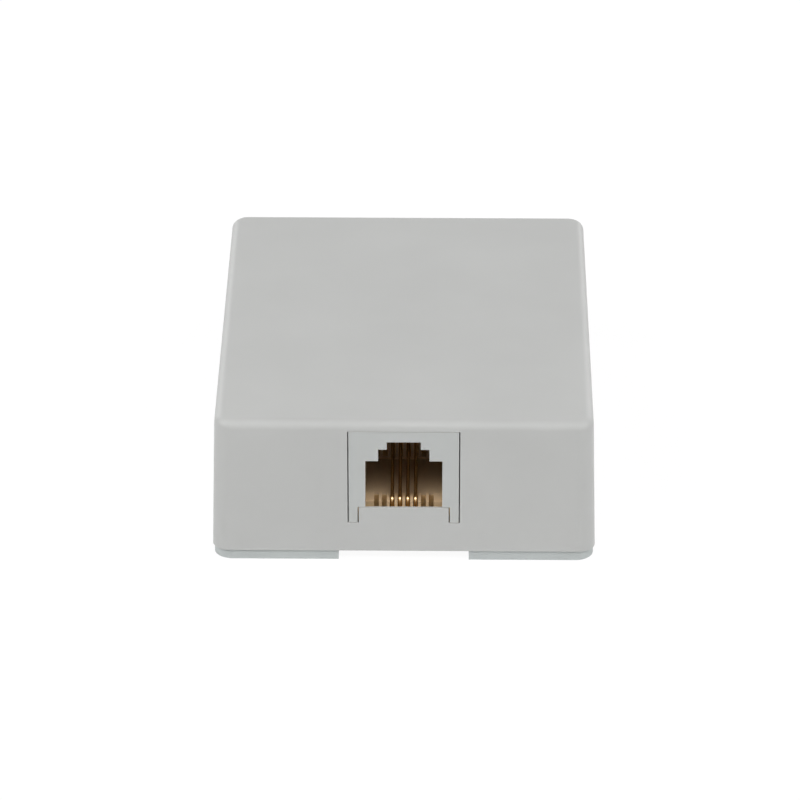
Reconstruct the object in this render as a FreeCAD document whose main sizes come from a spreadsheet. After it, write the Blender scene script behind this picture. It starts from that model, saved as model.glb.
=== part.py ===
"""Surface mount jack box: a drafted push-fit cover on a base with a modular jack and four terminals.

X runs across the front, the front wall faces -Y, Z is up. The origin is under the middle of the base.
"""
import FreeCAD, Part
import math
import os
import re
import Sketcher

SIZES = {
    # the box
    "box_width": 50.0,           # outside of the cover at its lower edge
    "box_depth": 60.4,
    "box_height": 20.35,         # from the underside of the base to the top of the cover
    "cover_wall": 1.4,
    "wall_draft": 1.5,           # degrees, on all four walls
    "corner_radius": 2.2,
    "top_radius": 1.2,
    "sill_chamfer": 1.05,        # lets the front wall swing clear of the jack
    "cover_gap": 0.15,           # beside the jack
    "head_gap": 0.05,            # over the jack
    "sill_gap": 0.05,            # under the jack
    "rib_width": 1.2,
    "rib_depth": 1.2,            # inwards from the foot of the wall
    "rib_gap": 0.2,              # above the rim
    "side_rib_y": 16.0,
    "rear_rib_x": 14.0,
    # the base
    "plate_thickness": 1.4,
    "plate_inset": 0.2,
    "plate_radius": 2.4,
    "notch_width": 17.0,
    "notch_depth": 3.0,
    "rim_thickness": 1.2,
    "rim_height": 2.5,
    "rim_gap": 0.25,
    "rim_radius": 1.0,
    "rail_thickness": 1.2,
    "rail_height": 5.0,
    "rail_start": 3.5,           # from the front of the plate
    "stop_width": 2.75,
    "bead_depth": 0.35,
    "bead_height": 0.8,
    "bead_rise": 2.6,            # above the plate
    "bead_gap": 0.05,
    "mount_inset": 7.7,          # from the cover's lower edge
    "mount_slot_width": 4.2,
    "mount_slot_length": 6.4,    # between the outermost points
    "entry_width": 8.0,          # cable entry in the rear wall
    "entry_straight": 1.5,
    "floor_entry_radius": 4.0,   # cable entry through the plate
    "floor_entry_inset": 7.2,
    # the jack
    "jack_width": 14.3,
    "jack_length": 17.2,
    "jack_recess": 0.05,
    "jack_leg_width": 1.15,
    "jack_leg_drop": 2.25,       # in front, below the opening
    "jack_rear_wall": 1.2,
    "jack_roof": 1.5,
    "opening_width": 10.0,
    "opening_height": 6.79,      # up to the shoulders
    "step_width": 6.65,
    "step_height": 1.68,
    "tab_width": 4.4,
    "tab_height": 1.08,
    # the contact carrier
    "carrier_setback": 1.85,     # from the front of the cover's lower edge
    "comb_gap": 0.05,            # comb below the floor of the opening
    "comb_length": 2.25,
    "comb_drop": 0.3,            # from the comb to the deck behind it
    "carrier_floor": 0.6,
    "tunnel_height": 2.0,        # room for the wires' tails under the deck
    "slot_distance": 1.02,
    "slot_width": 0.65,
    "rear_comb_thickness": 2.4,
    "rear_comb_slot": 2.0,
    "rear_comb_height": 5.75,    # above the floor of the opening
    # the contact wires
    "wire_radius": 0.23,
    "wire_nose": 2.45,           # bend's foremost centre line behind the cover's lower edge
    "wire_nose_drop": 0.1,       # below the floor of the opening
    "wire_slope": 22.5,          # degrees
    "wire_end": 2.2,             # tip in front of the jack's rear
    "wire_bend_radius": 0.8,
    "tail_margin": 0.55,         # from the tunnel's floor and roof
    # the terminals
    "terminal_x": 9.0,
    "terminal_setback": 18.0,    # front row behind the jack
    "terminal_row_gap": 13.0,
    "post_radius": 3.5,
    "post_height": 4.6,
    "insert_radius": 2.3,
    "insert_gap": 0.02,
    "thread_radius": 1.5,
    "thread_gap": 0.06,
    "shank_length": 4.8,
    "shank_point": 0.3,
    "head_radius": 2.8,
    "head_height": 1.9,
    "head_round": 0.6,
    "recess_width": 0.8,
    "recess_length": 3.4,
    "recess_depth": 1.0,
    "washer_radius": 3.2,
    "washer_hole": 1.75,
    "washer_thickness": 0.5,
    "lug_thickness": 0.6,
    "lug_width": 6.2,
    "lug_slot": 1.7,             # half the width of the fork's slot
    "lug_reach": 3.1,            # fork's tips beyond the screw's axis
    "lug_shoulder": 3.3,
    "lug_neck_width": 1.6,
    "barrel_start": 5.0,
    "barrel_length": 4.0,
    "barrel_radius": 1.0,
    "barrel_gap": 0.05,
    "front_lug_angle": 30.0,     # degrees from straight back
    "rear_lug_angle": 45.0,
    # the leads
    "lead_radius": 0.6,
    "lead_grip": 3.0,            # length inside the barrel
    "lead_exit": 2.4,            # straight way out of the jack
    "lead_approach": 1.0,        # straight way into the barrel
    # working clearance of cuts that run out of the material
    "cut_margin": 1.0,
}

FRONT = "(-box_depth / 2)"
REAR = "(box_depth / 2)"
ROOF = "(box_height - cover_wall)"
PLATE_FRONT = f"({FRONT} + plate_inset)"
JACK_REAR = f"({FRONT} + jack_length)"
JACK_TOP = f"({ROOF} - head_gap)"
TAB_TOP = f"({JACK_TOP} - jack_roof)"
STEP_TOP = f"({TAB_TOP} - tab_height)"
SHOULDER = f"({STEP_TOP} - step_height)"
OPENING_FLOOR = f"({SHOULDER} - opening_height)"
LEG_BOTTOM = f"({OPENING_FLOOR} - jack_leg_drop)"
JACK_SIDE = "(jack_width / 2)"
LEG_INSIDE = "(jack_width / 2 - jack_leg_width)"
WINDOW_SIDE = "(jack_width / 2 + cover_gap)"
TONGUE_SIDE = f"({LEG_INSIDE} - cover_gap)"
TONGUE_TOP = f"({OPENING_FLOOR} - sill_gap)"
SILL = f"({LEG_BOTTOM} - sill_gap)"
BEAD_LEVEL = "(plate_thickness + bead_rise)"
POST_TOP = "(plate_thickness + post_height)"
ROW_Y = {"front": f"({JACK_REAR} + terminal_setback)"}
ROW_Y["rear"] = f"({ROW_Y['front']} + terminal_row_gap)"
MOUNT_X = "(box_width / 2 - mount_inset)"
MOUNT_Y = f"({ROW_Y['front']} + terminal_row_gap / 2)"
FLOOR_ENTRY_Y = f"({REAR} - floor_entry_inset)"
COMB_FRONT = f"({FRONT} + carrier_setback)"
COMB_REAR = f"({COMB_FRONT} + comb_length)"
COMB_TOP = f"({OPENING_FLOOR} - comb_gap)"
DECK = f"({COMB_TOP} - comb_drop)"
SLOT_BOTTOM = "(plate_thickness + carrier_floor)"
TUNNEL_TOP = f"({SLOT_BOTTOM} + tunnel_height)"
REAR_COMB_BACK = f"({JACK_REAR} - jack_rear_wall)"
REAR_COMB_FRONT = f"({REAR_COMB_BACK} - rear_comb_thickness)"
REAR_COMB_TOP = f"({OPENING_FLOOR} + rear_comb_height)"
UPPER_TAIL = f"({TUNNEL_TOP} - tail_margin)"
LOWER_TAIL = f"({SLOT_BOTTOM} + tail_margin)"

CONTACTS = 4
COMB_SLOTS = 8
TOLERANCE = 1e-4

# number, side, row of terminals, height of the contact's tail, colour of its lead
LINES = [
    (1, -1, "front", UPPER_TAIL, "black"),
    (2, -1, "rear", LOWER_TAIL, "red"),
    (3, 1, "front", UPPER_TAIL, "green"),
    (4, 1, "rear", LOWER_TAIL, "yellow"),
]

doc = FreeCAD.newDocument("JackBox")
sheet = doc.addObject("Spreadsheet::Sheet", "Sizes")
for row, (alias, number) in enumerate(SIZES.items(), 1):
    sheet.set(f"A{row}", alias.replace("_", " "))
    sheet.set(f"B{row}", str(number))
    sheet.setAlias(f"B{row}", alias)
doc.recompute()

sub_parts = []


def formula(text):
    """The text as an expression in which every size is read from the sheet."""
    return re.sub(r"[a-z_]+", lambda word: "Sizes." + word[0] if word[0] in SIZES else word[0], str(text))


def value(text):
    return float(sheet.evalExpression(formula(text)))


def bind(item, prop, text):
    item.setExpression(prop, formula(text))


# ---- sketches and features


def new_body(name):
    body = doc.addObject("PartDesign::Body", name)
    body.Label = name
    sub_parts.append(body)
    return body


def origin_plane(body, role):
    return next(feature for feature in body.Origin.OriginFeatures if feature.Role == role)


def fix_point(sketch, geometry, position, x, y):
    """Hold a point of the sketch at x and y, which are formulas."""
    for kind, text in (("DistanceX", x), ("DistanceY", y)):
        rule = Sketcher.Constraint(kind, -1, 1, geometry, position, value(text))
        index = sketch.addConstraint(rule)
        bind(sketch, f"Constraints[{index}]", text)


def add_outline(sketch, points):
    corners = [FreeCAD.Vector(value(x), value(y), 0) for x, y in points]
    first = sketch.GeometryCount
    for start, end in zip(corners, corners[1:] + corners[:1]):
        sketch.addGeometry(Part.LineSegment(start, end), False)
    for i in range(len(points)):
        following = first + (i + 1) % len(points)
        sketch.addConstraint(Sketcher.Constraint("Coincident", first + i, 2, following, 1))
    for i, (x, y) in enumerate(points):
        fix_point(sketch, first + i, 1, x, y)


def add_circle(sketch, x, y, radius):
    centre = FreeCAD.Vector(value(x), value(y), 0)
    index = sketch.addGeometry(Part.Circle(centre, FreeCAD.Vector(0, 0, 1), value(radius)), False)
    rule = sketch.addConstraint(Sketcher.Constraint("Radius", index, value(radius)))
    bind(sketch, f"Constraints[{rule}]", radius)
    fix_point(sketch, index, 3, x, y)


def new_sketch(body, plane, offset="0", outlines=(), circles=()):
    """A sketch parallel to a plane of the body's origin, moved by offset along the plane's normal."""
    sketch = body.newObject("Sketcher::SketchObject", f"{body.Label}_sketch")
    sketch.AttachmentSupport = [(origin_plane(body, plane), "")]
    sketch.MapMode = "FlatFace"
    bind(sketch, "AttachmentOffset.Base.z", offset)
    for points in outlines:
        add_outline(sketch, points)
    for circle in circles:
        add_circle(sketch, *circle)
    doc.recompute()
    return sketch


def extrude(body, kind, sketch, length, reverse=False, symmetric=False):
    before = body.Shape.Volume if body.Shape.Solids else 0.0
    feature = body.newObject(f"PartDesign::{kind}", f"{body.Label}_{kind.lower()}")
    feature.Profile = sketch
    feature.Reversed = reverse
    if symmetric:
        feature.SideType = "Symmetric"
    bind(feature, "Length", length)
    doc.recompute()
    change = body.Shape.Volume - before
    if change * (1 if kind == "Pad" else -1) <= TOLERANCE:
        raise ValueError(f"{feature.Label} changes nothing")
    return feature


def pad(body, sketch, length, **options):
    return extrude(body, "Pad", sketch, length, **options)


def pocket(body, sketch, length, **options):
    return extrude(body, "Pocket", sketch, length, **options)


def repeat(body, feature, count, pitch):
    """Copies of a feature in a row along X."""
    pattern = body.newObject("PartDesign::LinearPattern", f"{body.Label}_pattern")
    pattern.Originals = [feature]
    pattern.Direction = (feature.Profile[0], ["H_Axis"])
    pattern.Occurrences = count
    bind(pattern, "Length", f"{count - 1} * {pitch}")
    body.Tip = pattern
    doc.recompute()
    return pattern


def dress(body, kind, base, prop, size, items, **settings):
    """A fillet, chamfer, draft or thickness on named edges or faces of the base feature."""
    feature = body.newObject(f"PartDesign::{kind}", f"{body.Label}_{kind.lower()}")
    feature.Base = (base, items)
    for name, setting in settings.items():
        setattr(feature, name, setting)
    bind(feature, prop, size)
    doc.recompute()
    return feature


def edges(shape, test):
    return [f"Edge{i}" for i, edge in enumerate(shape.Edges, 1) if test(edge)]


def faces(shape, test):
    return [f"Face{i}" for i, face in enumerate(shape.Faces, 1) if test(face)]


def level(z):
    """Test for an edge or face whose corners all lie at height z."""
    return lambda item: all(abs(corner.Z - z) < TOLERANCE for corner in item.Vertexes)


def upright(edge):
    heights = [corner.Z for corner in edge.Vertexes]
    spread = max(abs(a.X - b.X) + abs(a.Y - b.Y) for a in edge.Vertexes for b in edge.Vertexes)
    return max(heights) - min(heights) > max(spread, TOLERANCE)


def rectangle(x_low, x_high, y_low, y_high):
    return [(x_low, y_low), (x_high, y_low), (x_high, y_high), (x_low, y_high)]


def centred(width, depth):
    return rectangle(f"-{width} / 2", f"{width} / 2", f"-{depth} / 2", f"{depth} / 2")


def flipped(points):
    """The same outline on the other side of X = 0."""
    return [(f"-({x})", y) for x, y in points]


def both_sides(points):
    """A right-hand half outline, from the middle round to the middle, closed with its left-hand half."""
    return points + flipped(points)[::-1]


# ---- cover


def add_ribs(body):
    """Upright ribs inside the side and rear walls that come down on the rim."""
    foot = "(plate_thickness + rim_height + rib_gap)"

    def across(wall):
        return f"{wall} - cover_wall - rib_depth", f"{wall} - cover_wall / 2"

    def along(centre):
        return f"{centre} - rib_width / 2", f"{centre} + rib_width / 2"

    ribs = [rectangle(*across("box_width / 2"), *along(y)) for y in ("-side_rib_y", "side_rib_y")]
    ribs.append(rectangle(*along("rear_rib_x"), *across(REAR)))
    ribs += [flipped(rib) for rib in ribs]
    pad(body, new_sketch(body, "XY_Plane", foot, ribs), f"{ROOF} - {foot}")


def cut_jack_window(body):
    """An inverted U in the front wall, round a tongue that closes the jack's opening from below."""
    half = [
        (TONGUE_SIDE, TONGUE_TOP),
        (TONGUE_SIDE, SILL),
        (WINDOW_SIDE, SILL),
        (WINDOW_SIDE, ROOF),
    ]
    window = new_sketch(body, "XZ_Plane", "box_depth / 2 + cut_margin", [both_sides(half)])
    cut = pocket(body, window, "cut_margin + 3 * cover_wall")

    def inner_sill(edge):
        inside = all(corner.Y > value(f"{FRONT} + 0.7 * cover_wall") for corner in edge.Vertexes)
        return inside and (level(value(SILL))(edge) or level(value(TONGUE_TOP))(edge))

    dress(body, "Chamfer", cut, "Size", "sill_chamfer", edges(cut.Shape, inner_sill))


def cut_cable_entry(body):
    """An arch in the rear wall."""
    offset = "-(box_depth / 2 + cut_margin)"
    spring = "(plate_thickness + entry_straight)"
    gate = rectangle("-entry_width / 2", "entry_width / 2", "plate_thickness - cut_margin", spring)
    length = "cut_margin + 3 * cover_wall"
    pocket(body, new_sketch(body, "XZ_Plane", offset, [gate]), length, reverse=True)
    arch = new_sketch(body, "XZ_Plane", offset, circles=[("0", spring, "entry_width / 2")])
    pocket(body, arch, length, reverse=True)


def make_cover():
    body = new_body("cover")
    outline = new_sketch(body, "XY_Plane", "plate_thickness", [centred("box_width", "box_depth")])
    block = pad(body, outline, "box_height - plate_thickness")
    lower_edge = level(value("plate_thickness"))
    walls = faces(block.Shape, lambda face: abs(face.normalAt(0, 0).z) < 0.5)
    neutral = (block, faces(block.Shape, lower_edge))
    drafted = dress(body, "Draft", block, "Angle", "wall_draft", walls, NeutralPlane=neutral)
    corners = edges(drafted.Shape, upright)
    rounded = dress(body, "Fillet", drafted, "Radius", "corner_radius", corners)
    opened = faces(rounded.Shape, lower_edge)
    shell = dress(body, "Thickness", rounded, "Value", "cover_wall", opened, Reversed=True, Join=1)
    top_edges = edges(shell.Shape, level(value("box_height")))
    dress(body, "Fillet", shell, "Radius", "top_radius", top_edges)
    add_ribs(body)
    cut_jack_window(body)
    cut_cable_entry(body)


# ---- base


def add_rim(body):
    """A low wall that locates the cover from inside."""
    across = "(box_width - 2 * cover_wall - 2 * rim_gap)"
    along = "(box_depth - 2 * cover_wall - 2 * rim_gap)"
    inside = centred(f"({across} - 2 * rim_thickness)", f"({along} - 2 * rim_thickness)")
    ring = new_sketch(body, "XY_Plane", "plate_thickness", [centred(across, along), inside])
    rim = pad(body, ring, "rim_height")

    side = value(f"{across} / 2")

    def outer_corner(edge):
        return upright(edge) and all(abs(abs(corner.X) - side) < TOLERANCE for corner in edge.Vertexes)

    dress(body, "Fillet", rim, "Radius", "rim_radius", edges(rim.Shape, outer_corner))


def add_jack_rails(body):
    """Guides beside the jack with stops behind it, and beads that hold it down."""
    outside = f"({JACK_SIDE} + rail_thickness)"
    stop_inside = f"({JACK_SIDE} - stop_width)"
    start = f"({PLATE_FRONT} + rail_start)"
    stop_back = f"({JACK_REAR} + rail_thickness)"
    rail = [
        (JACK_SIDE, start),
        (outside, start),
        (outside, stop_back),
        (stop_inside, stop_back),
        (stop_inside, JACK_REAR),
        (JACK_SIDE, JACK_REAR),
    ]
    pad(body, new_sketch(body, "XY_Plane", "plate_thickness", [rail, flipped(rail)]), "rail_height")
    bead_inside = f"({JACK_SIDE} - bead_depth)"
    bead_outside = f"({JACK_SIDE} + rail_thickness / 2)"
    bead = rectangle(bead_inside, bead_outside, BEAD_LEVEL, f"{BEAD_LEVEL} + bead_height")
    beads = new_sketch(body, "XZ_Plane", f"-{JACK_REAR}", [bead, flipped(bead)])
    pad(body, beads, f"{JACK_REAR} - {start}")


def add_terminal_posts(body):
    places = [(f"{side} * terminal_x", ROW_Y[row]) for _, side, row, _, _ in LINES]
    posts = [(x, y, "post_radius") for x, y in places]
    pad(body, new_sketch(body, "XY_Plane", "plate_thickness", circles=posts), "post_height")
    bores = [(x, y, "insert_radius") for x, y in places]
    pocket(body, new_sketch(body, "XY_Plane", POST_TOP, circles=bores), "post_height")


def cut_mounting_slots(body):
    """Two slots along X for the screws that hold the base to a wall."""
    radius = "mount_slot_width / 2"
    reach = "(mount_slot_length - mount_slot_width) / 2"
    middle = rectangle(
        f"{MOUNT_X} - {reach}", f"{MOUNT_X} + {reach}", f"{MOUNT_Y} - {radius}", f"{MOUNT_Y} + {radius}"
    )
    through = "plate_thickness"
    pocket(body, new_sketch(body, "XY_Plane", through, [middle, flipped(middle)]), through)
    for end in (-1, 1):
        ends = [(f"{side} * ({MOUNT_X} + {end} * {reach})", MOUNT_Y, radius) for side in (-1, 1)]
        pocket(body, new_sketch(body, "XY_Plane", through, circles=ends), through)


def cut_plate_openings(body):
    notch = rectangle(
        "-notch_width / 2", "notch_width / 2", f"{FRONT} - cut_margin", f"{PLATE_FRONT} + notch_depth"
    )
    height = "plate_thickness + rim_height"
    pocket(body, new_sketch(body, "XY_Plane", height, [notch]), height)
    gate = rectangle("-entry_width / 2", "entry_width / 2", f"{REAR} - 4 * cover_wall", REAR)
    pocket(body, new_sketch(body, "XY_Plane", height, [gate]), "rim_height")
    hole = new_sketch(body, "XY_Plane", height, circles=[("0", FLOOR_ENTRY_Y, "floor_entry_radius")])
    pocket(body, hole, height)


def make_base():
    body = new_body("base")
    outline = centred("(box_width - 2 * plate_inset)", "(box_depth - 2 * plate_inset)")
    plate = pad(body, new_sketch(body, "XY_Plane", outlines=[outline]), "plate_thickness")
    dress(body, "Fillet", plate, "Radius", "plate_radius", edges(plate.Shape, upright))
    add_rim(body)
    add_jack_rails(body)
    add_terminal_posts(body)
    cut_mounting_slots(body)
    cut_plate_openings(body)


# ---- jack


def make_jack_housing():
    """An inverted U round the stepped opening, with two legs that straddle the cover's tongue."""
    body = new_body("jack_housing")
    inside = [
        (LEG_INSIDE, "plate_thickness"),
        (LEG_INSIDE, OPENING_FLOOR),
        ("opening_width / 2", OPENING_FLOOR),
        ("opening_width / 2", SHOULDER),
        ("step_width / 2", SHOULDER),
        ("step_width / 2", STEP_TOP),
        ("tab_width / 2", STEP_TOP),
        ("tab_width / 2", TAB_TOP),
    ]
    outside = [(JACK_SIDE, JACK_TOP), (JACK_SIDE, "plate_thickness")]
    profile = new_sketch(body, "XZ_Plane", f"-{JACK_REAR}", [both_sides(outside + inside)])
    pad(body, profile, f"{JACK_REAR} - {FRONT}")

    top = f"({JACK_TOP} + cut_margin)"
    face_foot = f"({FRONT} + jack_recess)"
    face_head = f"({face_foot} + ({top} - plate_thickness) * tan(wall_draft))"
    slant = [
        (f"{FRONT} - cut_margin", "plate_thickness"),
        (face_foot, "plate_thickness"),
        (face_head, top),
        (f"{FRONT} - cut_margin", top),
    ]
    pocket(body, new_sketch(body, "YZ_Plane", outlines=[slant]), "2 * jack_width", symmetric=True)

    wall_clear = f"({FRONT} + cover_wall + 3 * cover_gap)"
    below_legs = rectangle(f"{FRONT} - cut_margin", wall_clear, "0", LEG_BOTTOM)
    pocket(body, new_sketch(body, "YZ_Plane", outlines=[below_legs]), "2 * jack_width", symmetric=True)

    rear = rectangle("-step_width", "step_width", OPENING_FLOOR, f"{JACK_TOP} - cover_wall / 2")
    pad(body, new_sketch(body, "XZ_Plane", f"-{JACK_REAR}", [rear]), "jack_rear_wall")

    groove = rectangle(
        f"{JACK_SIDE} - bead_depth - bead_gap",
        f"{JACK_SIDE} + cut_margin",
        f"{BEAD_LEVEL} - bead_gap",
        f"{BEAD_LEVEL} + bead_height + bead_gap",
    )
    grooves = new_sketch(body, "XZ_Plane", f"-{JACK_REAR}", [groove, flipped(groove)])
    pocket(body, grooves, f"{JACK_REAR} - {wall_clear}", reverse=True)


def make_contact_carrier():
    """The insert under the opening: a comb in front, a deck behind it and a comb against the rear wall."""
    body = new_body("contact_carrier")
    profile = [
        (COMB_FRONT, "plate_thickness"),
        (COMB_FRONT, COMB_TOP),
        (COMB_REAR, COMB_TOP),
        (COMB_REAR, DECK),
        (REAR_COMB_FRONT, DECK),
        (REAR_COMB_FRONT, COMB_TOP),
        (JACK_REAR, COMB_TOP),
        (JACK_REAR, "plate_thickness"),
    ]
    pad(body, new_sketch(body, "YZ_Plane", outlines=[profile]), f"2 * {LEG_INSIDE}", symmetric=True)
    wall = rectangle("-opening_width / 2", "opening_width / 2", COMB_TOP, REAR_COMB_TOP)
    rear_comb = new_sketch(body, "XZ_Plane", f"-{REAR_COMB_BACK}", [wall])
    pad(body, rear_comb, "rear_comb_thickness")

    def slot(count, low, high, plane, offset, length, reverse=False):
        centre = f"(-{count - 1} / 2 * slot_distance)"
        outline = rectangle(f"{centre} - slot_width / 2", f"{centre} + slot_width / 2", low, high)
        first = pocket(body, new_sketch(body, plane, offset, [outline]), length, reverse=reverse)
        repeat(body, first, count, "slot_distance")

    slot(
        COMB_SLOTS, f"{COMB_FRONT} - cut_margin", COMB_REAR,
        "XY_Plane", COMB_TOP, f"{COMB_TOP} - {SLOT_BOTTOM}",
    )
    slot(
        COMB_SLOTS, f"{REAR_COMB_FRONT} - cut_margin", f"{REAR_COMB_FRONT} + rear_comb_slot",
        "XY_Plane", REAR_COMB_TOP, f"{REAR_COMB_TOP} - {COMB_TOP}",
    )
    slot(
        CONTACTS, SLOT_BOTTOM, TUNNEL_TOP, "XZ_Plane", f"-({COMB_REAR} - cut_margin)",
        f"{JACK_REAR} - {COMB_REAR} + 2 * cut_margin",
    )


# ---- wires and leads


def rounded_route(points, radii):
    """A wire of straight runs through the points, with a tangent arc of the given radius at each turn."""
    pieces = []
    start = points[0]
    for before, corner, after, radius in zip(points, points[1:], points[2:], radii):
        into = (corner - before).normalize()
        out = (after - corner).normalize()
        half_turn = into.getAngle(out) / 2
        cut = radius * math.tan(half_turn)
        arc_start = corner - into * cut
        arc_end = corner + out * cut
        inward = (out - into).normalize()
        middle = corner + inward * (radius / math.cos(half_turn) - radius)
        pieces.append(Part.LineSegment(start, arc_start).toShape())
        pieces.append(Part.Arc(arc_start, middle, arc_end).toShape())
        start = arc_end
    pieces.append(Part.LineSegment(start, points[-1]).toShape())
    return Part.Wire(pieces)


def widest_radii(points):
    """At each turn, the largest radius that leaves a tenth of the shorter run straight."""
    radii = []
    for before, corner, after in zip(points, points[1:], points[2:]):
        into = corner - before
        out = after - corner
        half_turn = into.getAngle(out) / 2
        radii.append(0.45 * min(into.Length, out.Length) / math.tan(half_turn))
    return radii


def make_round_bar(name, route, radius):
    """A solid of circular section along a route."""
    path = doc.addObject("Part::Feature", f"{name}_route")
    path.Shape = route
    section = doc.addObject("Part::Circle", f"{name}_section")
    bind(section, "Radius", radius)
    start = route.OrderedEdges[0]
    section.Placement = FreeCAD.Placement(
        start.valueAt(start.FirstParameter), FreeCAD.Rotation(FreeCAD.Vector(0, 0, 1), start.tangentAt(0))
    )
    bar = doc.addObject("Part::Sweep", name)
    bar.Label = name
    bar.Sections = [section]
    bar.Spine = (path, [f"Edge{i}" for i in range(1, len(route.Edges) + 1)])
    bar.Solid = True
    doc.recompute()
    expected = math.pi * value(radius) ** 2 * route.Length
    if abs(bar.Shape.Volume / expected - 1) > 0.01:
        raise ValueError(f"{name}: volume {bar.Shape.Volume:.3f} instead of {expected:.3f}")
    sub_parts.append(bar)


def contact_x(number):
    return value("slot_distance") * (number - (CONTACTS + 1) / 2)


def make_contact_wire(number, tail):
    """A spring wire from the jack's rear, forward under the deck, round the nose and up to the rear comb."""
    x = contact_x(number)
    nose_y = value(f"{FRONT} + wire_nose")
    end_y = value(f"{JACK_REAR} - wire_end")
    nose_z = value(f"{OPENING_FLOOR} - wire_nose_drop")
    end_z = nose_z + (end_y - nose_y) * math.tan(math.radians(value("wire_slope")))
    points = [
        FreeCAD.Vector(x, value(JACK_REAR), value(tail)),
        FreeCAD.Vector(x, nose_y, value(tail)),
        FreeCAD.Vector(x, nose_y, nose_z),
        FreeCAD.Vector(x, end_y, end_z),
    ]
    bend = value("wire_bend_radius")
    make_round_bar(f"contact_wire_{number}", rounded_route(points, [bend, bend]), "wire_radius")


def lug_axis(side, row):
    """Direction in which a lug points, from its barrel to its screw."""
    angle = math.radians(value(f"{row}_lug_angle"))
    return FreeCAD.Vector(side * math.sin(angle), math.cos(angle), 0)


LEAD_BENDS = {
    # right of the middle, behind the jack and above the wall, for a lead on the right-hand side
    "front": [(2.9, 6.4, 6.6)],
    "rear": [(1.9, 8.4, 3.1), (1.5, 15.0, 5.2), (1.0, 20.6, 7.1)],
}


def make_lead(number, side, row, tail, colour):
    """An insulated lead from a contact's tail to the barrel of its lug."""
    screw = FreeCAD.Vector(side * value("terminal_x"), value(ROW_Y[row]), 0)
    axis = lug_axis(side, row)
    barrel_end = value("barrel_start + barrel_length")
    height = FreeCAD.Vector(0, 0, value(f"{POST_TOP} + barrel_radius"))
    mouth = screw - axis * barrel_end + height
    tip = mouth + axis * value("lead_grip")
    start = FreeCAD.Vector(contact_x(number), value(JACK_REAR), value(tail))
    way_out = start + FreeCAD.Vector(0, value("lead_exit"), 0)
    bends = [FreeCAD.Vector(side * x, value(JACK_REAR) + y, z) for x, y, z in LEAD_BENDS[row]]
    points = [start, way_out, *bends, mouth - axis * value("lead_approach"), tip]
    radii = widest_radii(points)
    print(f"lead_{colour} radii", [round(radius, 1) for radius in radii])
    make_round_bar(f"lead_{colour}", rounded_route(points, radii), "lead_radius")


# ---- terminals


def place_at_terminal(item, side, row, height, angle="0"):
    item.Placement = FreeCAD.Placement(
        FreeCAD.Vector(), FreeCAD.Rotation(FreeCAD.Vector(0, 0, 1), 1)
    )
    bind(item, "Placement.Base.x", f"{side} * terminal_x")
    bind(item, "Placement.Base.y", ROW_Y[row])
    bind(item, "Placement.Base.z", height)
    bind(item, "Placement.Rotation.Angle", angle)


def make_insert(number, side, row):
    """A brass bush in the post, drawn as a plain tube with the thread's bore."""
    body = new_body(f"terminal_insert_{number}")
    outside = ("0", "0", "insert_radius - insert_gap")
    bore = ("0", "0", "thread_radius + thread_gap")
    tube = new_sketch(body, "XY_Plane", circles=[outside, bore])
    pad(body, tube, "post_height")
    place_at_terminal(body, side, row, "plate_thickness")


def make_spade_lug(number, side, row):
    """A forked tongue under the screw and a rolled barrel round the lead."""
    body = new_body(f"spade_lug_{number}")
    fork = [
        ("lug_width / 2", "lug_reach"),
        ("lug_width / 2", "-lug_shoulder"),
        ("lug_neck_width / 2", "-barrel_start"),
        ("lug_neck_width / 2", "-(barrel_start + barrel_length)"),
    ]
    pad(body, new_sketch(body, "XY_Plane", outlines=[both_sides(fork)]), "lug_thickness")
    mouth = rectangle("-lug_slot", "lug_slot", "0", "lug_reach + cut_margin")
    pocket(body, new_sketch(body, "XY_Plane", "lug_thickness", [mouth]), "lug_thickness")
    root = new_sketch(body, "XY_Plane", "lug_thickness", circles=[("0", "0", "lug_slot")])
    pocket(body, root, "lug_thickness")
    roll = new_sketch(body, "XZ_Plane", "barrel_start", circles=[("0", "barrel_radius", "barrel_radius")])
    pad(body, roll, "barrel_length")
    bore = ("0", "barrel_radius", "lead_radius + barrel_gap")
    hole = new_sketch(body, "XZ_Plane", "barrel_start + barrel_length", circles=[bore])
    pocket(body, hole, "barrel_length")
    place_at_terminal(body, side, row, POST_TOP, f"{-side} * {row}_lug_angle")


def make_washer(number, side, row):
    body = new_body(f"terminal_washer_{number}")
    ring = new_sketch(body, "XY_Plane", circles=[("0", "0", "washer_radius"), ("0", "0", "washer_hole")])
    pad(body, ring, "washer_thickness")
    place_at_terminal(body, side, row, f"{POST_TOP} + lug_thickness")


def make_screw(number, side, row):
    """A pan head with a cross recess on a plain shank of the thread's size."""
    body = new_body(f"terminal_screw_{number}")
    profile = [
        ("0", "-shank_length"),
        ("thread_radius - shank_point", "-shank_length"),
        ("thread_radius", "-shank_length + shank_point"),
        ("thread_radius", "0"),
        ("head_radius", "0"),
        ("head_radius", "head_height"),
        ("0", "head_height"),
    ]
    turned = body.newObject("PartDesign::Revolution", f"{body.Label}_revolution")
    turned.Profile = new_sketch(body, "XZ_Plane", outlines=[profile])
    turned.ReferenceAxis = (turned.Profile[0], ["V_Axis"])
    doc.recompute()
    rim = edges(turned.Shape, level(value("head_height")))
    dress(body, "Fillet", turned, "Radius", "head_round", rim)
    half_long, half_wide = "recess_length / 2", "recess_width / 2"
    cross = [
        (half_wide, f"-({half_long})"),
        (half_wide, f"-({half_wide})"),
        (half_long, f"-({half_wide})"),
        (half_long, half_wide),
        (half_wide, half_wide),
        (half_wide, half_long),
    ]
    recess = new_sketch(body, "XY_Plane", "head_height", [both_sides(cross)])
    pocket(body, recess, "recess_depth")
    place_at_terminal(body, side, row, f"{POST_TOP} + lug_thickness + washer_thickness")


# ---- build and write


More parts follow.
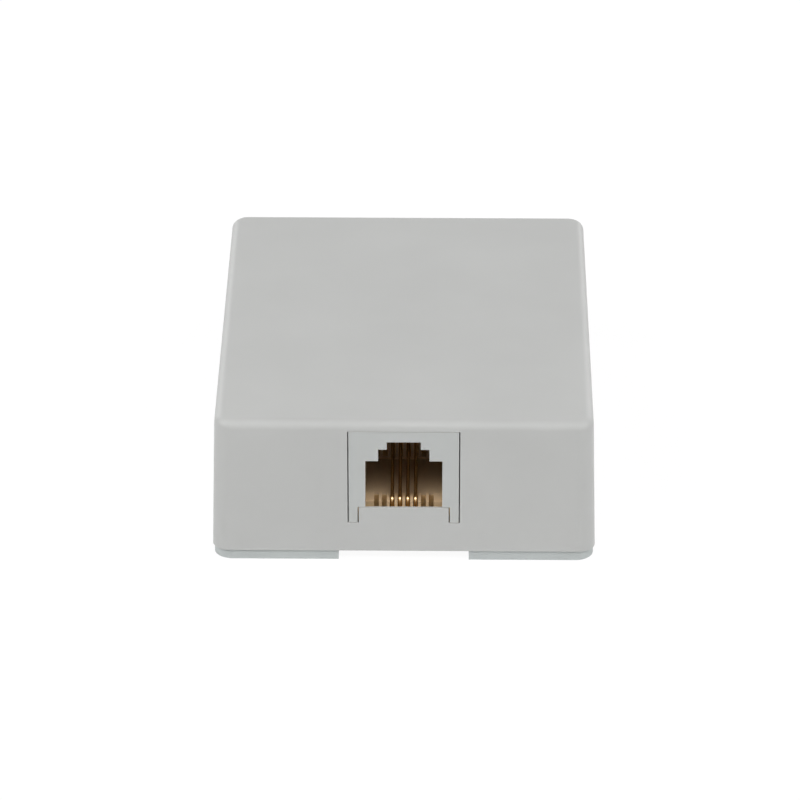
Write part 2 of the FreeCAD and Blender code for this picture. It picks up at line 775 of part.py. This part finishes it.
def check_document():
    for item in doc.Objects:
        if "Invalid" in item.State or "Error" in item.State:
            raise ValueError(f"{item.Label} failed: {item.State}")
    for item in sub_parts:
        if item.Shape.isNull() or not item.Shape.isValid() or len(item.Shape.Solids) != 1:
            raise ValueError(f"{item.Label} is not one valid solid")


def write_parts():
    os.makedirs("parts", exist_ok=True)
    for item in sub_parts:
        item.Shape.exportStep(f"parts/{item.Label}.step")


make_base()
make_cover()
make_jack_housing()
make_contact_carrier()
for number, side, row, tail, colour in LINES:
    make_contact_wire(number, tail)
    make_lead(number, side, row, tail, colour)
    make_insert(number, side, row)
    make_spade_lug(number, side, row)
    make_washer(number, side, row)
    make_screw(number, side, row)
doc.recompute()
check_document()
write_parts()
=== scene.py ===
"""Looks of the surface mount jack box: finishes of its pieces, stripped wire ends, studio and camera."""
import math

import bmesh
import bpy
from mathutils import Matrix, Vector


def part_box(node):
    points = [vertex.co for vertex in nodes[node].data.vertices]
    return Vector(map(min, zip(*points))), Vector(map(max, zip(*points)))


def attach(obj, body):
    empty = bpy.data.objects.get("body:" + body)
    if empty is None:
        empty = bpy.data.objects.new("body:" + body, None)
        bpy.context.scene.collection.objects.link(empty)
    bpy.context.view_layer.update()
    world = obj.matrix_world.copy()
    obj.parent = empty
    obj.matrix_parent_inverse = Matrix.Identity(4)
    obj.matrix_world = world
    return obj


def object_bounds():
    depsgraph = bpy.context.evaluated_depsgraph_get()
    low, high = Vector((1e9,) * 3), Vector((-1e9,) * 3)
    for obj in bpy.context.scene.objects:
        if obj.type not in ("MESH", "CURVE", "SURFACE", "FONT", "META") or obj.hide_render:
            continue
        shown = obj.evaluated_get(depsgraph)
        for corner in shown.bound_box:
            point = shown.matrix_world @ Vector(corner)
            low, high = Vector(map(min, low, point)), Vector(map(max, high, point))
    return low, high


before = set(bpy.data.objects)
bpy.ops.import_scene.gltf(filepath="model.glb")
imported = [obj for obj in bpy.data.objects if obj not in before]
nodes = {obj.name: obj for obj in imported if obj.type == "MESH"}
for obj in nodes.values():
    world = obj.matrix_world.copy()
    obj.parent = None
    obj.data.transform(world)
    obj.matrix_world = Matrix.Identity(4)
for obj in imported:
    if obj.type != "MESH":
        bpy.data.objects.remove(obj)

MM = 0.001
TERMINALS = (1, 2, 3, 4)
INSULATION_COLOURS = {
    "black": (0.022, 0.022, 0.025),
    "red": (0.55, 0.025, 0.02),
    "green": (0.03, 0.26, 0.07),
    "yellow": (0.78, 0.56, 0.04),
}

# how far a surface looks round itself for what shelters it, for the painted shade and painted light in
# hollows
HOLLOW_REACH = 20 * MM          # the jack's opening
SLOT_REACH = 1.2 * MM           # the gaps between the comb's ribs

# the bare conductor in a lug's barrel: one strand in the middle and the others round it
BARREL_RADIUS = 1.0 * MM
MOUTH_DEPTH = 0.06 * MM         # corners of the lug this close to its far end are the barrel's mouth
STRANDS = 7
STRAND_RADIUS = 0.155 * MM
STRAND_START = 6.3 * MM         # distance from the screw's axis, inside the barrel
STRAND_END = 4.2 * MM           # distance from the screw's axis, past the barrel
STRAND_STEPS = 6
STRAND_SIDES = 8
STRAND_SPACING = 2.04           # between axes, in strand radii
STRAND_TWIST = 1.1              # radians from start to end
STRAND_FLARE = 0.18             # how much wider the bundle is at its end
STRAND_TIP = 0.75               # width of the cut end against the rest
TRIM_DEPTH = 0.12 * MM          # how unevenly the strands are cut
TRIM_PHASE = 2.3                # sets one strand's cut apart from the next

LAMP_DISTANCE = 1.2
SOFTBOX_SIZE = 0.53
LAMP_PAIRS = (("left", -1, 1.0), ("right", 1, 0.95))    # name, side, share of the power
AMBIENT = 0.06
FLOOR_REACH = 3.0
FLOOR_GAP = 0.02 * MM

CAMERA_AZIMUTH = 0.61           # degrees, 0 is straight in front
CAMERA_ELEVATION = 29.0
CAMERA_DISTANCE = 0.62
CAMERA_LENS = 205.5
CAMERA_AIM = (-0.8 * MM, 0, -3.0 * MM)    # from the middle of the box

cad_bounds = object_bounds()


# ---- material building blocks


class Surface:
    """A node material under construction: a Principled shader with helpers for its inputs."""

    def __init__(self, name, colour, roughness, **settings):
        self.material = bpy.data.materials.new(name)
        self.material.use_nodes = True
        self.tree = self.material.node_tree
        self.tree.nodes.clear()
        output = self.add("OutputMaterial")
        self.shader = self.add("BsdfPrincipled")
        self.link(self.shader.outputs[0], output.inputs[0])
        self.shader.inputs["Base Color"].default_value = (*colour, 1)
        self.shader.inputs["Roughness"].default_value = roughness
        for socket, number in settings.items():
            self.shader.inputs[socket.replace("_", " ")].default_value = number
        self.colour = colour
        self.place = self.add("TexCoord").outputs["Object"]

    def add(self, kind, **settings):
        node = self.tree.nodes.new("ShaderNode" + kind)
        for name, setting in settings.items():
            setattr(node, name, setting)
        return node

    def link(self, source, target):
        self.tree.links.new(source, target)

    def noise(self, size, detail=2.0, stretch=(1, 1, 1)):
        """Noise whose grains are about size metres across."""
        scale = self.add("Mapping")
        scale.inputs["Scale"].default_value = stretch
        self.link(self.place, scale.inputs["Vector"])
        texture = self.add("TexNoise")
        texture.inputs["Scale"].default_value = 1 / size
        texture.inputs["Detail"].default_value = detail
        self.link(scale.outputs[0], texture.inputs["Vector"])
        return texture.outputs["Fac"]

    def remap(self, source, low, high, start=0.3, end=0.7):
        """The source from start to end, spread from low to high."""
        node = self.add("MapRange")
        for socket, number in zip(("From Min", "From Max", "To Min", "To Max"), (start, end, low, high)):
            node.inputs[socket].default_value = number
        self.link(source, node.inputs["Value"])
        return node.outputs["Result"]

    def blend(self, factor, low, high, mode="MIX"):
        """A colour between low and high; either may be a colour or a socket."""
        node = self.add("Mix", data_type="RGBA", blend_type=mode)
        self.link(factor, node.inputs["Factor"])
        for socket, colour in zip((node.inputs[6], node.inputs[7]), (low, high)):
            if isinstance(colour, tuple):
                socket.default_value = (*colour, 1)
            else:
                self.link(colour, socket)
        return node.outputs[2]

    def shade(self, factor):
        """The base colour made lighter or darker by a factor."""
        return tuple(channel * factor for channel in self.colour)

    def edges(self, width):
        """1 along the edges of the piece, 0 on its faces: a rounded normal leans away from the true one."""
        rounded = self.add("Bevel", samples=6)
        rounded.inputs["Radius"].default_value = width
        facing = self.add("VectorMath", operation="DOT_PRODUCT")
        self.link(rounded.outputs[0], facing.inputs[0])
        self.link(self.add("NewGeometry").outputs["Normal"], facing.inputs[1])
        return self.remap(facing.outputs["Value"], 1.0, 0.0, 0.8, 1.0)

    def hollows(self, reach):
        """1 in the open, towards 0 far into a hollow: the mask for painted shade and painted light."""
        shelter = self.add("AmbientOcclusion", samples=8)
        shelter.inputs["Distance"].default_value = reach
        return shelter.outputs["AO"]

    def bump(self, height, distance, strength=1.0):
        node = self.add("Bump")
        node.inputs["Strength"].default_value = strength
        node.inputs["Distance"].default_value = distance
        self.link(height, node.inputs["Height"])
        previous = self.shader.inputs["Normal"]
        if previous.is_linked:
            self.link(previous.links[0].from_socket, node.inputs["Normal"])
        self.link(node.outputs[0], previous)

    def set(self, socket, source):
        self.link(source, self.shader.inputs[socket])


def moulded_plastic(name, colour, roughness, painted_hollow_shade=None):
    """Satin ABS: cloudy tone, fine spark-eroded grain, a few faint scuffs and a painted highlight along its
    edges.

    Given a colour for its hollows, the piece turns to that colour far into them: painted shade.
    """
    surface = Surface(name, colour, roughness, IOR=1.5)
    cloud = surface.noise(14 * MM, 3)
    tone = surface.blend(surface.remap(cloud, 0, 1), surface.shade(0.975), surface.shade(1.02))
    # painted highlight: lighter colour along the edges
    tone = surface.blend(surface.edges(0.35 * MM), tone, surface.shade(1.06))
    if painted_hollow_shade:
        # painted shade: the colour turns darker and browner far into the hollows
        tone = surface.blend(surface.remap(surface.hollows(HOLLOW_REACH), 0, 1, 0.2, 0.6), painted_hollow_shade, tone)
    surface.set("Base Color", tone)
    grain = surface.noise(0.28 * MM, 3)
    scuff = surface.noise(5 * MM, 4, stretch=(1, 0.12, 1))
    matt = surface.remap(scuff, roughness - 0.01, roughness + 0.03, 0.35, 0.7)
    surface.set("Roughness", matt)
    surface.bump(surface.noise(4 * MM, 1), 0.012 * MM, 0.5)
    surface.bump(grain, 0.012 * MM, 0.6)
    return surface.material


def tan_plastic(name, colour, painted_deep_shade, painted_slot_glow):
    """Glass-filled insert plastic: flow streaks along its length, a slight gloss, painted shade that
    darkens it in its hollows, and a painted highlight along its edges.

    The thin gaps between its ribs get a warmer, lighter colour than the hollow: painted light that stands
    for light shining through the ribs.
    """
    surface = Surface(name, colour, 0.42, IOR=1.55)
    streak = surface.noise(1.6 * MM, 3, stretch=(1, 0.25, 1))
    tone = surface.blend(surface.remap(streak, 0, 1), surface.shade(0.92), surface.shade(1.05))
    # painted highlight: lighter colour along the edges of the ribs
    tone = surface.blend(surface.edges(0.12 * MM), tone, surface.shade(1.17))
    # painted light: a warmer, lighter colour in the thin gaps between the ribs
    slot_glow_mask = surface.remap(surface.hollows(SLOT_REACH), 0, 1, 0.1, 0.6)
    painted_shade_and_glow = surface.blend(slot_glow_mask, painted_slot_glow, painted_deep_shade)
    # painted shade: a darker colour far into the hollow
    painted_shade_mask = surface.remap(surface.hollows(HOLLOW_REACH), 0, 1, 0.03, 0.25)
    surface.set("Base Color", surface.blend(painted_shade_mask, painted_shade_and_glow, tone))
    surface.set("Roughness", surface.remap(surface.noise(0.8 * MM), 0.36, 0.5))
    surface.bump(surface.noise(0.2 * MM, 3), 0.01 * MM, 0.7)
    return surface.material


def drawn_wire(name, colour):
    """Gold plated spring wire: bright, with faint lines along its length and a trace of wear."""
    surface = Surface(name, colour, 0.1, Metallic=1.0)
    wear = surface.remap(surface.noise(2.5 * MM, 2), 0, 1)
    surface.set("Base Color", surface.blend(wear, surface.shade(0.92), surface.shade(1.05)))
    surface.set("Roughness", surface.remap(surface.noise(0.9 * MM, 2), 0.07, 0.12))
    surface.bump(surface.noise(0.12 * MM, 2, stretch=(1, 0.02, 0.02)), 0.002 * MM, 0.5)
    return surface.material


def plated_metal(name, colour, roughness, tarnish):
    """Plated sheet or turned metal: drawn lines, a little tarnish in patches, a painted highlight along its
    edges.
    """
    surface = Surface(name, colour, roughness, Metallic=1.0)
    patch = surface.remap(surface.noise(2.2 * MM, 3), 0, 1, 0.3, 0.85)
    tone = surface.blend(patch, colour, tarnish)
    # painted highlight: lighter colour along the edges
    surface.set("Base Color", surface.blend(surface.edges(0.1 * MM), tone, surface.shade(1.12)))
    surface.set("Roughness", surface.remap(surface.noise(0.5 * MM, 3), roughness - 0.06, roughness + 0.12))
    surface.bump(surface.noise(0.5 * MM, 3, stretch=(0.1, 1, 1)), 0.006 * MM, 0.6)
    return surface.material


def insulation(name, colour):
    """Extruded PVC: soft sheen, faint lengthwise waviness and dust."""
    surface = Surface(name, colour, 0.4, IOR=1.46)
    dust = surface.remap(surface.noise(1.1 * MM, 4), 0, 0.22, 0.5, 0.8)
    dusty = tuple(0.5 * channel + 0.3 for channel in colour)
    surface.set("Base Color", surface.blend(dust, colour, dusty))
    surface.set("Roughness", surface.remap(surface.noise(0.6 * MM), 0.32, 0.5))
    surface.bump(surface.noise(0.7 * MM, 2), 0.02 * MM, 0.5)
    return surface.material


# ---- pieces


def finish_node(name, material, bevel=0.0):
    """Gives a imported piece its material, and a small round on its sharp edges."""
    piece = nodes[name]
    piece.data.materials.clear()
    piece.data.materials.append(material)
    if bevel:
        rounding = piece.modifiers.new("edge rounding", "BEVEL")
        rounding.width = bevel
        rounding.segments = 3
        rounding.limit_method = "ANGLE"
        rounding.angle_limit = math.radians(40)
        rounding.harden_normals = True


def lug_axis(number):
    """The screw's middle, and the direction from it to the mouth of the lug's barrel."""
    low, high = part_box(f"terminal_screw_{number}")
    screw = (low + high) / 2
    corners = [corner.co.xy - screw.xy for corner in nodes[f"spade_lug_{number}"].data.vertices]
    reach = max(corner.length for corner in corners)
    mouth = sum((corner for corner in corners if corner.length > reach - MOUTH_DEPTH), Vector((0, 0)))
    return screw, mouth.normalized().to_3d()


def make_strands(number, metal):
    """The bare end of a lead: tinned strands that come out of the lug's barrel with a slight twist."""
    screw, axis = lug_axis(number)
    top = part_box(f"spade_lug_{number}")[1].z
    middle_line = Vector((screw.x, screw.y, top - BARREL_RADIUS))
    across = axis.cross(Vector((0, 0, 1)))

    def around(centre, angle, radius):
        """A point beside the centre, in the plane across the barrel."""
        return centre + (across * math.cos(angle) + Vector((0, 0, math.sin(angle)))) * radius

    shape = bmesh.new()
    for strand in range(STRANDS):
        spread = 0 if strand == 0 else STRAND_SPACING * STRAND_RADIUS
        first = strand * math.tau / (STRANDS - 1)
        length = STRAND_START - STRAND_END + TRIM_DEPTH * math.sin(TRIM_PHASE * strand + number)
        rings = []
        for step in range(STRAND_STEPS + 1):
            share = step / STRAND_STEPS
            along = middle_line + axis * (STRAND_START - length * share)
            flare = spread * (1 + STRAND_FLARE * share * share)
            centre = around(along, first + STRAND_TWIST * share, flare)
            radius = STRAND_RADIUS * (STRAND_TIP if step == STRAND_STEPS else 1)
            angles = [side * math.tau / STRAND_SIDES for side in range(STRAND_SIDES)]
            rings.append([shape.verts.new(around(centre, angle, radius)) for angle in angles])
        for ring, following in zip(rings, rings[1:]):
            for side in range(STRAND_SIDES):
                after = (side + 1) % STRAND_SIDES
                shape.faces.new((ring[side], ring[after], following[after], following[side]))
        shape.faces.new(rings[-1])
        shape.faces.new(rings[0][::-1])
    bmesh.ops.recalc_face_normals(shape, faces=shape.faces)
    for face in shape.faces:
        face.smooth = len(face.verts) == 4
    mesh = bpy.data.meshes.new(f"strands_{number}")
    shape.to_mesh(mesh)
    shape.free()
    mesh.materials.append(metal)
    strands = bpy.data.objects.new(f"strands_{number}", mesh)
    bpy.context.scene.collection.objects.link(strands)
    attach(strands, "base")


def finish_nodes():
    shell = moulded_plastic("cover_plastic", (0.52, 0.525, 0.515), 0.46)
    plate = moulded_plastic("base_plastic", (0.5, 0.53, 0.525), 0.5)
    # the jack's plastic gets a painted shade far into its opening
    face = moulded_plastic("jack_plastic", (0.515, 0.53, 0.52), 0.46, painted_hollow_shade=(0.42, 0.33, 0.23))
    finish_node("cover", shell, bevel=0.05 * MM)
    finish_node("base", plate, bevel=0.04 * MM)
    finish_node("jack_housing", face, bevel=0.04 * MM)
    # the carrier's colours for its painted shade and for the painted light in the gaps between its ribs
    tan = tan_plastic("carrier_plastic", (0.84, 0.61, 0.375), (0.42, 0.32, 0.215), painted_slot_glow=(0.86, 0.6, 0.22))
    finish_node("contact_carrier", tan, bevel=0.05 * MM)
    gold = drawn_wire("contact_gold", (0.66, 0.46, 0.24))
    brass = plated_metal("insert_brass", (0.75, 0.56, 0.26), 0.32, (0.5, 0.36, 0.17))
    tin = plated_metal("lug_tin", (0.72, 0.71, 0.69), 0.34, (0.61, 0.6, 0.57))
    nickel = plated_metal("screw_nickel", (0.7, 0.68, 0.64), 0.26, (0.6, 0.575, 0.53))
    dull_nickel = plated_metal("washer_nickel", (0.66, 0.64, 0.6), 0.34, (0.56, 0.54, 0.5))
    for number in TERMINALS:
        finish_node(f"contact_wire_{number}", gold)
        finish_node(f"terminal_insert_{number}", brass, bevel=0.1 * MM)
        finish_node(f"spade_lug_{number}", tin, bevel=0.06 * MM)
        make_strands(number, tin)
        finish_node(f"terminal_washer_{number}", dull_nickel, bevel=0.08 * MM)
        finish_node(f"terminal_screw_{number}", nickel, bevel=0.06 * MM)
    for name, colour in INSULATION_COLOURS.items():
        finish_node(f"lead_{name}", insulation(f"lead_{name}_pvc", colour))


# ---- studio


def background_rays(tree):
    """1 for rays that show the background: from the camera, off a mirror or through glass."""
    path = tree.nodes.new("ShaderNodeLightPath")
    seen = path.outputs["Is Camera Ray"]
    for kind in ("Is Glossy Ray", "Is Transmission Ray"):
        either = tree.nodes.new("ShaderNodeMath")
        either.operation = "MAXIMUM"
        tree.links.new(seen, either.inputs[0])
        tree.links.new(path.outputs[kind], either.inputs[1])
        seen = either.outputs[0]
    return seen


def show_white(surface, brightness, share):
    """Shows the background's rays a share of plain white, and leaves the rest lit, with its shadow."""
    strength = surface.add("Math", operation="MULTIPLY")
    strength.inputs[1].default_value = share
    surface.link(background_rays(surface.tree), strength.inputs[0])
    glow = surface.add("Emission")
    glow.inputs["Strength"].default_value = brightness
    mix = surface.add("MixShader")
    surface.link(strength.outputs[0], mix.inputs[0])
    surface.link(surface.shader.outputs[0], mix.inputs[1])
    surface.link(glow.outputs[0], mix.inputs[2])
    output = next(node for node in surface.tree.nodes if node.type == "OUTPUT_MATERIAL")
    surface.link(mix.outputs[0], output.inputs[0])


def make_floor():
    mesh = bpy.data.meshes.new("studio_floor")
    shape = bmesh.new()
    bmesh.ops.create_grid(shape, x_segments=8, y_segments=8, size=FLOOR_REACH)
    shape.to_mesh(mesh)
    shape.free()
    floor = bpy.data.objects.new("studio_floor", mesh)
    bpy.context.scene.collection.objects.link(floor)
    floor.location.z = cad_bounds[0][2] - FLOOR_GAP
    surface = Surface("floor_white", (0.82, 0.82, 0.82), 0.9)
    show_white(surface, brightness=1.05, share=0.9)
    mesh.materials.append(surface.material)


def make_world():
    world = bpy.data.worlds.new("studio")
    bpy.context.scene.world = world
    world.use_nodes = True
    tree = world.node_tree
    tree.nodes.clear()
    output = tree.nodes.new("ShaderNodeOutputWorld")
    mix = tree.nodes.new("ShaderNodeMixShader")
    ambient = tree.nodes.new("ShaderNodeBackground")
    ambient.inputs["Color"].default_value = (1, 1, 1, 1)
    ambient.inputs["Strength"].default_value = AMBIENT
    white = tree.nodes.new("ShaderNodeBackground")
    white.inputs["Color"].default_value = (1, 1, 1, 1)
    white.inputs["Strength"].default_value = 1.0
    tree.links.new(background_rays(tree), mix.inputs[0])
    tree.links.new(ambient.outputs[0], mix.inputs[1])
    tree.links.new(white.outputs[0], mix.inputs[2])
    tree.links.new(mix.outputs[0], output.inputs[0])


def middle():
    return (Vector(cad_bounds[0]) + Vector(cad_bounds[1])) / 2


def view_direction(azimuth, elevation):
    """From the object towards a camera or lamp; azimuth 0 is in front, 90 is on the right."""
    turn, rise = math.radians(azimuth), math.radians(elevation)
    return Vector((math.sin(turn) * math.cos(rise), -math.cos(turn) * math.cos(rise), math.sin(rise)))


def add_softbox(name, azimuth, elevation, size, power):
    """A square area lamp that faces the object."""
    lamp = bpy.data.lights.new(name, "AREA")
    lamp.size = size
    lamp.energy = power
    softbox = bpy.data.objects.new(name, lamp)
    bpy.context.scene.collection.objects.link(softbox)
    direction = view_direction(azimuth, elevation)
    softbox.location = middle() + direction * LAMP_DISTANCE
    softbox.rotation_euler = direction.to_track_quat("Z", "Y").to_euler()


def add_camera():
    camera = bpy.data.objects.new("camera", bpy.data.cameras.new("camera"))
    bpy.context.scene.collection.objects.link(camera)
    camera.data.sensor_width = 36
    camera.data.lens = CAMERA_LENS
    camera.data.clip_start = 0.01
    camera.data.clip_end = 20
    direction = view_direction(CAMERA_AZIMUTH, CAMERA_ELEVATION)
    camera.location = middle() + Vector(CAMERA_AIM) + direction * CAMERA_DISTANCE
    camera.rotation_euler = direction.to_track_quat("Z", "Y").to_euler()
    bpy.context.scene.camera = camera


def light_studio():
    """A key over the camera, and pairs of lamps in front, at the sides and low behind."""
    add_softbox("key", 0, 50, size=0.36, power=1.95)
    for name, side, share in LAMP_PAIRS:
        add_softbox(f"front_{name}", side * 40, 45, SOFTBOX_SIZE, power=2.3 * share)
        add_softbox(f"side_{name}", side * 70, 35, SOFTBOX_SIZE, power=5.7 * share)
        add_softbox(f"rear_{name}", side * 145, 18, size=0.6, power=2.7)


finish_nodes()
make_floor()
make_world()
light_studio()
add_camera()
bpy.context.scene.view_settings.view_transform = "Standard"
